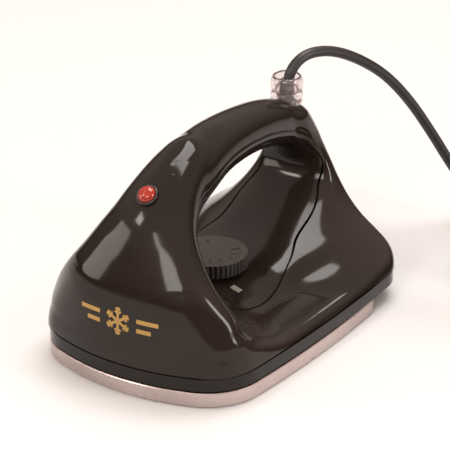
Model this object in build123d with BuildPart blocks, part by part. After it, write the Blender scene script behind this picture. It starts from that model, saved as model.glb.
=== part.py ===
"""A ski waxing iron: aluminium sole plate, black moulded housing with a loop handle, thermostat dial,
pilot lamp, and a mains lead wound into a coil beside it.

Frame: millimetres, +Z up, the sole rests on z = 0, the nose points to -Y, the handle lies in the plane x = 0.
"""
from build123d import *
import math
import os

# ---- driving dimensions ----
PLATE_T = 7.4                 # sole plate thickness
PLATE_FRONT = 78.5            # nose of the plate, ahead of the origin
PLATE_REAR = 62.0             # the plate stops short of the housing's tail
HALF_W = 57.0                 # widest half width of plate and housing
TAIL = 79.0                   # rear of the housing
NOSE = 79.0                   # front of the housing
GASKET_T = 1.2                # insulating gasket between the plate and the skirt
SKIRT_H = 6.0                 # lower skirt ring
WALL = 2.6                    # housing wall
LINER_T = 2.2                 # liner of the hand opening
SILL_Z = 30.0                 # floor of the hand opening
DIAL_Y = -3.4                 # dial axis
DIAL_R = 16.0
DIAL_H = 6.2
SPINDLE_R = 3.0
CORD_D = 5.0                  # three-core flexible lead
EXIT_Y = 59.0                 # where the lead leaves the top of the handle
LAMP_R = 4.3                  # pilot lamp lens
SHIELD_Z = 17.0               # chassis plate above the heating element
SHIELD_T = 1.0

# ---- derived levels ----
GASKET_Z = PLATE_T
SKIRT_Z = PLATE_T + GASKET_T
SEAM_Z = SKIRT_Z + SKIRT_H
DIAL_Z = SILL_Z + 1.4         # underside of the knob

os.makedirs("parts", exist_ok=True)


def save(builder, name):
    """Labels a finished sub-part and writes it as parts/name.step."""
    builder.part.label = name
    export_step(builder.part, f"parts/{name}.step")


# ---- plan outline shared by plate, gasket, skirt and housing ----
def plan(front, rear, inset=0.0):
    """The iron's plan: a bowed nose, slightly swelling sides and rounded corners, shrunk by inset."""
    nose_x = 51.5 - inset
    nose_y = 14.0 - front + inset
    tail_x = HALF_W - 1.5 - inset
    tail_y = rear - 3.0 - inset
    with BuildSketch(mode=Mode.PRIVATE) as sketch:
        with BuildLine():
            ThreePointArc((-nose_x, nose_y), (0, inset - front), (nose_x, nose_y))
            ThreePointArc((nose_x, nose_y), (HALF_W - inset, 14.0), (tail_x, tail_y))
            ThreePointArc((tail_x, tail_y), (0, rear - inset), (-tail_x, tail_y))
            ThreePointArc((-tail_x, tail_y), (inset - HALF_W, 14.0), (-nose_x, nose_y))
        make_face()
        fillet(sketch.vertices().group_by(Axis.Y)[0], max(28 - inset, 8))
        fillet(sketch.vertices().group_by(Axis.Y)[-1], max(19 - inset, 6))
    return sketch.sketch


def rounded_section(half_width, y0, y1, inset=0.0):
    """A rounded rectangle in plan, from y0 to y1, for the lofted masses of the housing."""
    width = 2 * (half_width - inset)
    length = y1 - y0 - 2 * inset
    with BuildSketch(mode=Mode.PRIVATE) as sketch:
        with Locations((0, (y0 + y1) / 2)):
            RectangleRounded(width, length, 0.46 * min(width, length))
    return sketch.sketch


# ---- the housing's masses: level, half width, front and rear of each section ----
NOSE_SECTIONS = [(22, 46, -78.3, -12), (33, 41, -77.8, -18), (47, 31, -74.5, -24),
                 (62, 21, -69.5, -27), (76, 15, -61.0, -24), (84, 11.5, -52.0, -24)]
TAIL_SECTIONS = [(22, 50, 16, 78.5), (29, 40, 22, 78), (37, 28, 34, 77), (50, 19, 50, 75.5),
                 (64, 14, 52, 73.5), (76, 11.5, 48, 70.5), (84, 9.5, 49, 67)]
SADDLE_SECTIONS = [(SEAM_Z + 0.1, 0), (22, 0.5), (27, 5.0), (31, 17.0)]

# centre line of the grip: y, z and radius
GRIP = [(-49, 58, 17.5), (-42, 71.5, 17.0), (-31, 80.8, 15.6), (-14, 86.5, 13.6), (7, 88.6, 12.2),
        (30, 86.6, 11.2), (47, 82, 10.8), (59, 76, 10.4)]


def grip_plane(index):
    """A plane across the grip at one point of its centre line."""
    before = GRIP[max(index - 1, 0)]
    after = GRIP[min(index + 1, len(GRIP) - 1)]
    y, z, _ = GRIP[index]
    return Plane(origin=(0, y, z), x_dir=(1, 0, 0), z_dir=(0, after[0] - before[0], after[1] - before[1]))


def housing_mass(inset):
    """The whole outer body as one solid, shrunk by inset on every side."""
    with BuildPart(mode=Mode.PRIVATE) as mass:
        for z, step in SADDLE_SECTIONS:
            with BuildSketch(Plane.XY.offset(z - (inset if z > SEAM_Z + 1 else 0))):
                add(plan(NOSE, TAIL, inset + step))
        loft(ruled=True)
        for sections in (NOSE_SECTIONS, TAIL_SECTIONS):
            with BuildPart(mode=Mode.PRIVATE) as horn:
                for z, half_width, y0, y1 in sections:
                    with BuildSketch(Plane.XY.offset(z - inset)):
                        add(rounded_section(half_width, y0, y1, inset))
                loft()
            add(horn.part)
        with BuildPart(mode=Mode.PRIVATE) as grip:
            for index, (_, _, radius) in enumerate(GRIP):
                with BuildSketch(grip_plane(index)):
                    Circle(radius - inset)
            loft()
        add(grip.part)
    return mass.part


# side view of the hand opening, y and z, from the rear end of the sill over the top to its front end
OPENING = [(18, SILL_Z), (34, 34), (50, 41.5), (61, 50), (65.5, 59), (61, 68.5), (48, 73), (30, 75.5),
           (7, 76.5), (-10, 74.5), (-23, 69), (-33, 59), (-37, 49), (-34, 38.5), (-24, SILL_Z)]


def hand_opening(grow=0.0):
    """The prism across the iron where the fingers go, grown by the liner's thickness when asked."""
    points = []
    for index, (y, z) in enumerate(OPENING):
        y0, z0 = OPENING[index - 1]
        y1, z1 = OPENING[(index + 1) % len(OPENING)]
        length = math.hypot(y1 - y0, z1 - z0)
        points.append((y + grow * (z1 - z0) / length, z - grow * (y1 - y0) / length))
    with BuildPart(mode=Mode.PRIVATE) as prism:
        with BuildSketch(Plane.YZ):
            with BuildLine():
                Spline(*points, tangents=((1, 0.05), (1, -0.25)))
                Line(points[-1], points[0])
            make_face()
        extrude(amount=80, both=True)
    return prism.part


# ---- housing: upper shell and the liner of the hand opening ----
outer = housing_mass(0)
inner = housing_mass(WALL)
opening = hand_opening()
opening_back = hand_opening(LINER_T)

LAMP_AT = Plane(origin=(0, -54.0, 85.0), x_dir=(1, 0, 0), z_dir=(0, -0.62, 0.785))
BOSSES = [(-36, -52), (36, -52), (-36, 70), (36, 70)]
SCREW_R = 1.5                 # self-tapping housing screws
SCREW_DEPTH = 8.5             # blind holes in the bosses
BOSS_R = 4.0
GUARD_BORE_R = 7.4            # counterbore for the clear guard on top of the handle
SLEEVE_BORE_R = 5.6           # bore for the strain relief below it

with BuildPart() as screw_bosses:
    with BuildSketch(Plane.XY.offset(SEAM_Z)):
        with Locations(BOSSES):
            Circle(BOSS_R)
    extrude(amount=40)
    add(outer, mode=Mode.INTERSECT)
    with BuildSketch(Plane.XY.offset(SEAM_Z)):
        with Locations(BOSSES):
            Circle(SCREW_R)
    extrude(amount=SCREW_DEPTH, mode=Mode.SUBTRACT)

with BuildPart() as upper_housing:
    add(outer)
    add(inner, mode=Mode.SUBTRACT)
    add(opening_back, mode=Mode.SUBTRACT)
    add(screw_bosses.part)
    with Locations(LAMP_AT):
        Cylinder(LAMP_R + 0.5, 14, mode=Mode.SUBTRACT)
    with Locations(Location((0, EXIT_Y, 86))):
        Cylinder(SLEEVE_BORE_R, 30, mode=Mode.SUBTRACT)
    with Locations(Location((0, EXIT_Y, 94.5))):
        Cylinder(GUARD_BORE_R, 16, mode=Mode.SUBTRACT)
save(upper_housing, "upper_housing")

with BuildPart() as handle_liner:
    add(outer)
    add(opening_back, mode=Mode.INTERSECT)
    add(opening, mode=Mode.SUBTRACT)
    with Locations(Location((0, DIAL_Y, SILL_Z))):
        Cylinder(SPINDLE_R + 1.8, 12, mode=Mode.SUBTRACT)
save(handle_liner, "handle_liner")

# ---- skirt ring: closes the housing from below and carries the tail overhang ----
with BuildPart() as skirt_ring:
    with BuildSketch(Plane.XY.offset(SKIRT_Z)):
        add(plan(NOSE, TAIL, 0.2))
    extrude(amount=SKIRT_H - 0.3)
    with BuildSketch(Plane.XY.offset(SKIRT_Z + 2.0)):
        add(plan(NOSE, TAIL, WALL))
    extrude(amount=SKIRT_H, mode=Mode.SUBTRACT)
    with BuildSketch(Plane.XY.offset(SKIRT_Z)):
        add(plan(PLATE_FRONT, PLATE_REAR, 9.0))
    extrude(amount=SKIRT_H, mode=Mode.SUBTRACT)
    with BuildSketch(Plane.XY.offset(SKIRT_Z)):
        with Locations(BOSSES[2:]):
            Circle(BOSS_R - 0.1)
    extrude(amount=SKIRT_H)
    with Locations([Location((x, y, SKIRT_Z + SKIRT_H / 2)) for x, y in BOSSES[2:]]):
        Cylinder(SCREW_R + 0.3, SKIRT_H + 2, mode=Mode.SUBTRACT)
save(skirt_ring, "skirt_ring")

# ---- sole plate with a groove for the element, and the gasket above it ----
ELEMENT_R = 3.2
ELEMENT_Z = PLATE_T + 1.4
LEG_X = 30.0
ELEMENT_PATH = [(-LEG_X, -46, ELEMENT_Z), (-LEG_X, 46, ELEMENT_Z), (LEG_X, 46, ELEMENT_Z), (LEG_X, -46, ELEMENT_Z)]


def element_rod(radius, grow=0.0):
    """The U-shaped rod of the heating element, following one path at any radius."""
    with BuildPart(mode=Mode.PRIVATE) as rod:
        with BuildLine():
            path = FilletPolyline(*ELEMENT_PATH, radius=24)
        with BuildSketch(Plane(origin=path @ 0, z_dir=path % 0)):
            Circle(radius)
        sweep()
        if grow:
            with BuildSketch(Plane.XZ.offset(46)):
                with Locations((-LEG_X, ELEMENT_Z), (LEG_X, ELEMENT_Z)):
                    Circle(radius)
            extrude(amount=grow)
    return rod.part


STANDOFFS = [(-40, -40), (40, -40), (-42, 38), (42, 38)]
STANDOFF_SCREW_R = 1.9
CLAMP_X = 15.0                # clamp bar screws
CLAMP_Y = [-34.0, 30.0]
CLAMP_SCREW_R = 1.45

with BuildPart() as sole_plate:
    with BuildSketch():
        add(plan(PLATE_FRONT + 0.5, PLATE_REAR, 0.4))
    extrude(amount=PLATE_T)
    chamfer(sole_plate.faces().sort_by(Axis.Z)[0].edges(), 1.2)
    chamfer(sole_plate.faces().sort_by(Axis.Z)[-1].edges(), 0.4)
    add(element_rod(ELEMENT_R + 0.02, 14.0), mode=Mode.SUBTRACT)
    with Locations([Location((x, y, PLATE_T - 2.0)) for x, y in STANDOFFS]):
        Cylinder(STANDOFF_SCREW_R + 0.05, 4.4, mode=Mode.SUBTRACT)
    with Locations([Location((x, y, PLATE_T - 2.0)) for x in (-CLAMP_X, CLAMP_X) for y in CLAMP_Y]):
        Cylinder(CLAMP_SCREW_R + 0.05, 4.4, mode=Mode.SUBTRACT)
save(sole_plate, "sole_plate")

with BuildPart() as gasket:
    with BuildSketch(Plane.XY.offset(GASKET_Z)):
        add(plan(PLATE_FRONT, PLATE_REAR, 2.2))
        add(plan(PLATE_FRONT, PLATE_REAR, 9.0), mode=Mode.SUBTRACT)
    extrude(amount=GASKET_T)
save(gasket, "insulating_gasket")

# ---- heating element, its end seals, pins and clamp bars ----
with BuildPart() as heating_element:
    add(element_rod(ELEMENT_R))
save(heating_element, "heating_element")

with BuildPart() as element_beads:
    with BuildSketch(Plane.XZ.offset(46)):
        with Locations((-LEG_X, ELEMENT_Z), (LEG_X, ELEMENT_Z)):
            Circle(2.9)
            Circle(1.2, mode=Mode.SUBTRACT)
    extrude(amount=4)
save(element_beads, "element_end_seals")

with BuildPart() as element_pins:
    with BuildSketch(Plane.XZ.offset(46)):
        with Locations((-LEG_X, ELEMENT_Z), (LEG_X, ELEMENT_Z)):
            Circle(1.2)
    extrude(amount=10)
save(element_pins, "element_pins")

CLAMP_Z = ELEMENT_Z + ELEMENT_R
CLAMP_T = 1.5
with BuildPart() as clamp_bars:
    for y in CLAMP_Y:
        with BuildSketch(Plane.XY.offset(CLAMP_Z)):
            with Locations((0, y)):
                RectangleRounded(72, 9, 2)
                with Locations((-CLAMP_X, 0), (CLAMP_X, 0)):
                    Circle(CLAMP_SCREW_R + 0.15, mode=Mode.SUBTRACT)
        extrude(amount=CLAMP_T)
save(clamp_bars, "element_clamp_bars")

with BuildPart() as clamp_screws:
    for y in CLAMP_Y:
        for x in (-CLAMP_X, CLAMP_X):
            with BuildSketch(Plane.XY.offset(CLAMP_Z + CLAMP_T)):
                with Locations((x, y)):
                    Circle(2.8)
            extrude(amount=1.8)
            with BuildSketch(Plane.XY.offset(PLATE_T - 3.5)):
                with Locations((x, y)):
                    Circle(CLAMP_SCREW_R)
            extrude(amount=CLAMP_Z + CLAMP_T - PLATE_T + 3.5)
save(clamp_screws, "element_clamp_screws")

# ---- chassis plate on ceramic standoffs ----
with BuildPart() as standoffs:
    with BuildSketch(Plane.XY.offset(PLATE_T)):
        with Locations(STANDOFFS):
            Circle(3.6)
            Circle(2.1, mode=Mode.SUBTRACT)
    extrude(amount=SHIELD_Z - PLATE_T)
save(standoffs, "ceramic_standoffs")

with BuildPart() as heat_shield:
    with BuildSketch(Plane.XY.offset(SHIELD_Z)):
        add(plan(NOSE, TAIL - 2, 4.5))
        with Locations((0, DIAL_Y)):
            RectangleRounded(26, 34, 3, mode=Mode.SUBTRACT)
        with Locations(STANDOFFS):
            Circle(2.1, mode=Mode.SUBTRACT)
        with Locations(BOSSES):
            Circle(BOSS_R + 0.4, mode=Mode.SUBTRACT)
        with Locations((2.5 - LEG_X, -61), (LEG_X - 2.5, -61)):
            RectangleRounded(13, 9, 1.5, mode=Mode.SUBTRACT)
    extrude(amount=SHIELD_T)
save(heat_shield, "heat_shield")

with BuildPart() as standoff_screws:
    for x, y in STANDOFFS:
        with BuildSketch(Plane.XY.offset(SHIELD_Z + SHIELD_T)):
            with Locations((x, y)):
                Circle(3.4)
        extrude(amount=2.2)
        with BuildSketch(Plane.XY.offset(PLATE_T - 3.5)):
            with Locations((x, y)):
                Circle(STANDOFF_SCREW_R)
        extrude(amount=SHIELD_Z + SHIELD_T - PLATE_T + 3.5)
save(standoff_screws, "standoff_screws")

with BuildPart() as boss_washers:
    for x, y in BOSSES[:2]:
        with BuildSketch(Plane.XY.offset(SEAM_Z - 1.2)):
            with Locations((x, y)):
                Circle(4.2)
                Circle(SCREW_R + 0.2, mode=Mode.SUBTRACT)
        extrude(amount=1.2)
save(boss_washers, "boss_washers")

with BuildPart() as housing_screws:
    for index, (x, y) in enumerate(BOSSES):
        seat = SEAM_Z - 1.2 if index < 2 else SKIRT_Z
        with BuildSketch(Plane.XY.offset(seat - 1.8)):
            with Locations((x, y)):
                Circle(2.8)
        extrude(amount=1.8)
        with BuildSketch(Plane.XY.offset(seat)):
            with Locations((x, y)):
                Circle(SCREW_R)
        extrude(amount=SEAM_Z + 8 - seat)
save(housing_screws, "housing_screws")

# ---- thermostat: bracket, contact stack, push pin, bush, spindle ----
ARM_Y = DIAL_Y + 11.0       # rivet line of the contact stack
CONTACT_Y = DIAL_Y - 5.5
BRIDGE_Z = 21.0
STACK_Z = PLATE_T + 1.2

with BuildPart() as thermostat_bracket:
    with BuildSketch(Plane.XY.offset(PLATE_T)):
        with Locations((0, DIAL_Y)):
            RectangleRounded(22, 33, 2)
    extrude(amount=1.2)
    with BuildSketch(Plane.XY.offset(PLATE_T + 1.2)):
        with Locations((0, DIAL_Y - 15.9), (0, DIAL_Y + 15.9)):
            Rectangle(13, 1.2)
    extrude(amount=BRIDGE_Z - PLATE_T - 1.2)
    with BuildSketch(Plane.XY.offset(BRIDGE_Z)):
        with Locations((0, DIAL_Y)):
            Rectangle(13, 33)
            Circle(4.2, mode=Mode.SUBTRACT)
    extrude(amount=1.2)
save(thermostat_bracket, "thermostat_bracket")


def washer(z, height, radius=3.6, bore=1.2):
    """One round of the contact stack."""
    with BuildPart(mode=Mode.PRIVATE) as ring:
        with BuildSketch(Plane.XY.offset(z)):
            with Locations((0, ARM_Y)):
                Circle(radius)
                Circle(bore, mode=Mode.SUBTRACT)
        extrude(amount=height)
    return ring.part


def strip(z, thickness, reach, width):
    """A flat spring held at the rivet line and reaching forward over the contacts."""
    with BuildPart(mode=Mode.PRIVATE) as blade:
        with BuildSketch(Plane.XY.offset(z)):
            with Locations((0, (ARM_Y + 3.4 + reach) / 2)):
                RectangleRounded(width, ARM_Y + 3.4 - reach, 1.5)
            with Locations((0, ARM_Y)):
                Circle(1.2, mode=Mode.SUBTRACT)
        extrude(amount=thickness)
    return blade.part


with BuildPart() as thermostat_insulators:
    for z, height in ((STACK_Z, 1.4), (STACK_Z + 2.2, 1.2), (STACK_Z + 3.8, 1.6), (STACK_Z + 5.8, 1.2)):
        add(washer(z, height))
save(thermostat_insulators, "thermostat_insulators")

with BuildPart() as bimetal_strip:
    add(strip(STACK_Z + 1.4, 0.8, DIAL_Y - 11, 8))
save(bimetal_strip, "bimetal_strip")

with BuildPart() as lower_contact_spring:
    add(strip(STACK_Z + 3.4, 0.4, CONTACT_Y - 3, 6))
save(lower_contact_spring, "lower_contact_spring")

with BuildPart() as upper_contact_spring:
    add(strip(STACK_Z + 5.4, 0.4, CONTACT_Y - 3, 6))
save(upper_contact_spring, "upper_contact_spring")

with BuildPart() as contact_points:
    with BuildSketch(Plane.XY.offset(STACK_Z + 3.8)):
        with Locations((0, CONTACT_Y)):
            Circle(1.6)
    extrude(amount=0.7)
    with BuildSketch(Plane.XY.offset(STACK_Z + 4.7)):
        with Locations((0, CONTACT_Y)):
            Circle(1.6)
    extrude(amount=0.7)
save(contact_points, "contact_points")

with BuildPart() as stack_rivet:
    with BuildSketch(Plane.XY.offset(STACK_Z)):
        with Locations((0, ARM_Y)):
            Circle(1.15)
    extrude(amount=7.0)
    with BuildSketch(Plane.XY.offset(STACK_Z + 7.0)):
        with Locations((0, ARM_Y)):
            Circle(2.2)
    extrude(amount=0.9)
save(stack_rivet, "stack_rivet")

PIN_Z = STACK_Z + 6.1
SPINDLE_Z = PIN_Z + 3.3
with BuildPart() as push_pin:
    with BuildSketch(Plane.XY.offset(PIN_Z)):
        with Locations((0, DIAL_Y)):
            Circle(1.5)
    extrude(amount=3.0)
save(push_pin, "ceramic_push_pin")

with BuildPart() as spindle_bush:
    with BuildSketch(Plane.XY.offset(BRIDGE_Z)):
        with Locations((0, DIAL_Y)):
            Circle(4.2)
            Circle(SPINDLE_R + 0.05, mode=Mode.SUBTRACT)
    extrude(amount=1.2)
    with BuildSketch(Plane.XY.offset(BRIDGE_Z + 1.2)):
        with Locations((0, DIAL_Y)):
            Circle(5.4)
            Circle(SPINDLE_R + 0.05, mode=Mode.SUBTRACT)
    extrude(amount=2.0)
save(spindle_bush, "spindle_bush")

with BuildPart() as spindle:
    with BuildSketch(Plane.XY.offset(SPINDLE_Z)):
        with Locations((0, DIAL_Y)):
            Circle(SPINDLE_R)
    extrude(amount=DIAL_Z + 4.2 - SPINDLE_Z)
save(spindle, "thermostat_spindle")

# ---- dial: knurled knob with a printed scale disc ----
KNURLS = 44
KNURL_R = 0.75
with BuildPart() as dial_knob:
    with BuildSketch(Plane.XY.offset(DIAL_Z)):
        with Locations((0, DIAL_Y)):
            Circle(DIAL_R - 0.4)
            with PolarLocations(DIAL_R - 0.55, KNURLS):
                Circle(KNURL_R)
    extrude(amount=DIAL_H)
    with BuildSketch(Plane.XY.offset(DIAL_Z)):
        with Locations((0, DIAL_Y)):
            Circle(SPINDLE_R)
    extrude(amount=4.2, mode=Mode.SUBTRACT)
    with BuildSketch(Plane.XY.offset(DIAL_Z + DIAL_H - 0.5)):
        with Locations((0, DIAL_Y)):
            Circle(12.6)
    extrude(amount=0.6, mode=Mode.SUBTRACT)
save(dial_knob, "dial_knob")

with BuildPart() as dial_scale:
    with BuildSketch(Plane.XY.offset(DIAL_Z + DIAL_H - 0.5)):
        with Locations((0, DIAL_Y)):
            Circle(12.5)
    extrude(amount=0.5)
save(dial_scale, "dial_scale_disc")

INDEX_AT = (18.5, DIAL_Y - 9.0)
with BuildPart() as index_mark:
    with BuildSketch(Plane.XY.offset(SILL_Z)):
        with Locations(INDEX_AT):
            RectangleRounded(4.6, 3.4, 0.5)
    extrude(amount=0.4)
save(index_mark, "dial_index_mark")

# ---- pilot lamp: bezel, lens and neon bulb ----
LAMP_IN = Plane(origin=LAMP_AT.origin - LAMP_AT.z_dir * 7, x_dir=(1, 0, 0), z_dir=LAMP_AT.z_dir)
with BuildPart() as lamp_bezel:
    with BuildSketch(LAMP_IN):
        Circle(LAMP_R + 0.4)
        Circle(LAMP_R - 0.3, mode=Mode.SUBTRACT)
    extrude(amount=7.6)
    with BuildSketch(LAMP_AT.offset(-0.2)):
        Circle(LAMP_R + 0.9)
        Circle(LAMP_R - 0.3, mode=Mode.SUBTRACT)
    extrude(amount=0.9)
save(lamp_bezel, "lamp_bezel")

with BuildPart() as lamp_lens:
    with BuildSketch(Plane(origin=LAMP_AT.origin - LAMP_AT.z_dir * 1.2, x_dir=(1, 0, 0), z_dir=LAMP_AT.z_dir)):
        Circle(LAMP_R - 0.35)
    extrude(amount=3.4)
    fillet(lamp_lens.edges().filter_by(GeomType.CIRCLE).sort_by(Axis((0, 0, 0), (0, -0.62, 0.785)))[-1], 1.9)
save(lamp_lens, "lamp_lens")

with BuildPart() as neon_bulb:
    with BuildSketch(Plane(origin=LAMP_AT.origin - LAMP_AT.z_dir * 12, x_dir=(1, 0, 0), z_dir=LAMP_AT.z_dir)):
        Circle(2.6)
    extrude(amount=10)
save(neon_bulb, "neon_bulb")

# ---- terminal block, fuse and internal wiring ----
BLOCK_Y = -57.0
BLOCK_Z = SHIELD_Z + SHIELD_T
BLOCK_POLES = (-10, 0, 10)
with BuildPart() as terminal_block:
    with BuildSketch(Plane.XY.offset(BLOCK_Z)):
        with Locations((0, BLOCK_Y)):
            RectangleRounded(32, 13, 2)
    extrude(amount=9)
    for x in BLOCK_POLES:
        with Locations(Location((x, BLOCK_Y, BLOCK_Z + 7))):
            Cylinder(1.9, 4.2, mode=Mode.SUBTRACT)
save(terminal_block, "terminal_block")

with BuildPart() as terminal_screws:
    for x in BLOCK_POLES:
        with Locations(Location((x, BLOCK_Y, BLOCK_Z + 6.5))):
            Cylinder(1.7, 3.0)
save(terminal_screws, "terminal_screws")


def wire(points, radius, bend):
    """A round insulated wire along straight runs joined by arcs."""
    with BuildPart(mode=Mode.PRIVATE) as core:
        with BuildLine():
            path = FilletPolyline(*points, radius=bend)
        with BuildSketch(Plane(origin=path @ 0, z_dir=path % 0)):
            Circle(radius)
        sweep()
    return core.part


for name, x in (("live_wire", -3.2), ("earth_wire", 0.0), ("neutral_wire", 3.2)):
    with BuildPart() as run:
        add(wire([(x, 47, 82.5), (x, 30, 86.6), (x, 7, 88.6), (x, -14, 86.5), (x, -31, 79), (x, -41, 66),
                  (x, -49, 48), (x * 2.8, BLOCK_Y + 2, BLOCK_Z + 16), (x * 3.1, BLOCK_Y, BLOCK_Z + 8.6)], 1.1, 3.0))
    save(run, name)

with BuildPart() as lamp_leads:
    for x in (-1.2, 1.2):
        add(wire([(x, -44.5, 71.0), (x * 2, -48, 60), (x * 5, -52, 45), (x * 9.5, BLOCK_Y - 3, 33)], 0.5, 2.0))
save(lamp_leads, "lamp_leads")

with BuildPart() as element_leads:
    for side in (-1, 1):
        add(wire([(side * LEG_X, -57.2, ELEMENT_Z), (side * LEG_X, -62, ELEMENT_Z + 3), (side * 24, -63, 22),
                  (side * 17.2, BLOCK_Y, 22.5)], 1.0, 2.0))
save(element_leads, "element_leads")

with BuildPart() as fuse_sleeve:
    with BuildSketch(Plane.YZ.offset(-12)):
        with Locations((-36, BLOCK_Z + 3)):
            Circle(2.8)
            Circle(2.1, mode=Mode.SUBTRACT)
    extrude(amount=24)
save(fuse_sleeve, "fuse_sleeve")

with BuildPart() as thermal_fuse:
    with BuildSketch(Plane.YZ.offset(-6)):
        with Locations((-36, BLOCK_Z + 3)):
            Circle(2.0)
    extrude(amount=12)
save(thermal_fuse, "thermal_fuse")

# ---- strain relief and its clear guard on top of the handle ----
SLEEVE_Z0 = 75.5
SLEEVE_Z1 = 89.0
CORD_R = CORD_D / 2
with BuildPart() as strain_relief:
    with BuildSketch(Plane.XZ.offset(-EXIT_Y)):
        with BuildLine():
            Polyline((0, SLEEVE_Z0), (5.2, SLEEVE_Z0), (5.2, SLEEVE_Z0 + 2.5), (4.1, SLEEVE_Z0 + 2.5),
                     (3.3, SLEEVE_Z1), (0, SLEEVE_Z1), (0, SLEEVE_Z0))
        make_face()
    revolve(axis=Axis((0, EXIT_Y, 0), (0, 0, 1)))
save(strain_relief, "strain_relief")

GUARD_Z = 84.5
with BuildPart() as guard_collar:
    with BuildSketch(Plane.XZ.offset(-EXIT_Y)):
        with BuildLine():
            Polyline((4.3, GUARD_Z), (5.5, GUARD_Z), (5.5, 88), (6.8, 88.6), (7.0, 93.4), (6.1, 94.6),
                     (4.3, 94.6), (4.3, GUARD_Z))
        make_face()
    revolve(axis=Axis((0, EXIT_Y, 0), (0, 0, 1)))
save(guard_collar, "guard_collar")

with BuildPart() as guard_cap:
    with BuildSketch(Plane.XZ.offset(-EXIT_Y)):
        with BuildLine():
            Polyline((4.4, 94.6), (6.1, 94.6), (7.0, 95.8), (7.0, 98.6), (6.0, 101.0), (5.7, 101.0), (4.4, 94.6))
        make_face()
    revolve(axis=Axis((0, EXIT_Y, 0), (0, 0, 1)))
save(guard_cap, "guard_cap")

with BuildPart() as cord_clamp:
    with BuildSketch(Plane.XZ.offset(-47.5)):
        with Locations((0, 79.0)):
            RectangleRounded(13, 3.0, 1.0)
    extrude(amount=-3.5)
save(cord_clamp, "cord_clamp")

with BuildPart() as cord_clamp_screws:
    with BuildSketch(Plane.XZ.offset(-47.5)):
        with Locations((-5, 79.0), (5, 79.0)):
            Circle(1.1)
    extrude(amount=1.4)
save(cord_clamp_screws, "cord_clamp_screws")

# ---- mains lead: free run from the strain relief to the coil ----
COIL_AT = (102.0, 128.0)
COIL_R = 30.0                 # middle of the turns
COIL_Z = 1.0
COIL_TOP = COIL_Z + 4 * CORD_D
ROUTE = [(0, EXIT_Y, SLEEVE_Z1), (0, EXIT_Y, 99), (1.6, 63.4, 106.5), (4.5, 71.2, 109.8), (9.2, 84.4, 107.5),
         (14.7, 99.4, 99.5), (20.0, 116.0, 87), (25.5, 130.5, 70), (31.5, 142, 51), (38, 150.5, 33),
         (46, 156.5, 18), (57, 159.8, 8.0), (70, 160.5, COIL_Z + CORD_R), (84, 160.5, COIL_Z + CORD_R)]


def corner_radii(route):
    """The arc at each corner: as large as the two runs beside it allow."""
    radii = []
    for before, corner, after in zip(route, route[1:], route[2:]):
        run_in = Vector(*corner) - Vector(*before)
        run_out = Vector(*after) - Vector(*corner)
        half_turn = math.radians(run_in.get_angle(run_out)) / 2
        radii.append(0.45 * min(run_in.length, run_out.length) / math.tan(half_turn))
    return radii


radii = corner_radii(ROUTE)
print("cord radii, mm:", [round(r, 1) for r in radii])
with BuildPart() as mains_cord:
    with BuildLine():
        cord_path = FilletPolyline(*ROUTE, radius=radii)
    with BuildSketch(Plane(origin=cord_path @ 0, z_dir=cord_path % 0)):
        Circle(CORD_R)
    sweep()
save(mains_cord, "mains_cord")
print("cord run, mm:", round(cord_path.length, 1), "volume ratio",
      round(mains_cord.part.volume / (math.pi * CORD_R**2 * cord_path.length), 4))

TAIL_X = COIL_AT[0] + COIL_R + CORD_R
TAIL_Z = COIL_TOP - CORD_R
PLUG_Y = 98.0
with BuildPart() as cord_coil:
    with BuildSketch(Plane.XY.offset(COIL_Z)):
        with Locations(COIL_AT):
            Circle(COIL_R + CORD_D)
            Circle(COIL_R - CORD_D, mode=Mode.SUBTRACT)
    extrude(amount=COIL_TOP - COIL_Z)
    with BuildSketch(Plane.YZ.offset(84)):
        with Locations((COIL_AT[1] + COIL_R + CORD_R, COIL_Z + CORD_R)):
            Circle(CORD_R)
    extrude(amount=COIL_AT[0] - 84)
    with BuildSketch(Plane.XZ.offset(-PLUG_Y)):
        with Locations((TAIL_X, TAIL_Z)):
            Circle(CORD_R)
    extrude(amount=PLUG_Y - COIL_AT[1])
save(cord_coil, "cord_coil")

TIE_W = 9.0
with BuildPart() as cord_tie:
    with BuildSketch(Plane.XZ.offset(-COIL_AT[1] + TIE_W / 2)):
        with Locations((COIL_AT[0] - COIL_R, (COIL_Z + COIL_TOP) / 2)):
            Rectangle(2 * CORD_D + 2.2, COIL_TOP - COIL_Z + 2.0)
            Rectangle(2 * CORD_D + 0.8, COIL_TOP - COIL_Z, mode=Mode.SUBTRACT)
    extrude(amount=-TIE_W)
save(cord_tie, "cord_tie")

# ---- plug ----
PLUG_R = 18.0
with BuildPart() as plug_body:
    with BuildSketch(Plane.XY.offset(TAIL_Z)):
        with BuildLine():
            Polyline((TAIL_X, PLUG_Y), (TAIL_X + 4.0, PLUG_Y), (TAIL_X + 5.5, PLUG_Y - 15),
                     (TAIL_X + 12.0, PLUG_Y - 21), (TAIL_X + PLUG_R, PLUG_Y - 29), (TAIL_X + PLUG_R, PLUG_Y - 44),
                     (TAIL_X, PLUG_Y - 44), (TAIL_X, PLUG_Y))
        make_face()
    revolve(axis=Axis((TAIL_X, 0, TAIL_Z), (0, 1, 0)))
save(plug_body, "plug_body")

with BuildPart() as plug_pins:
    with BuildSketch(Plane.XZ.offset(44 - PLUG_Y)):
        with Locations((TAIL_X - 9.5, TAIL_Z), (TAIL_X + 9.5, TAIL_Z)):
            Circle(2.4)
    extrude(amount=19)
save(plug_pins, "plug_pins")
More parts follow.
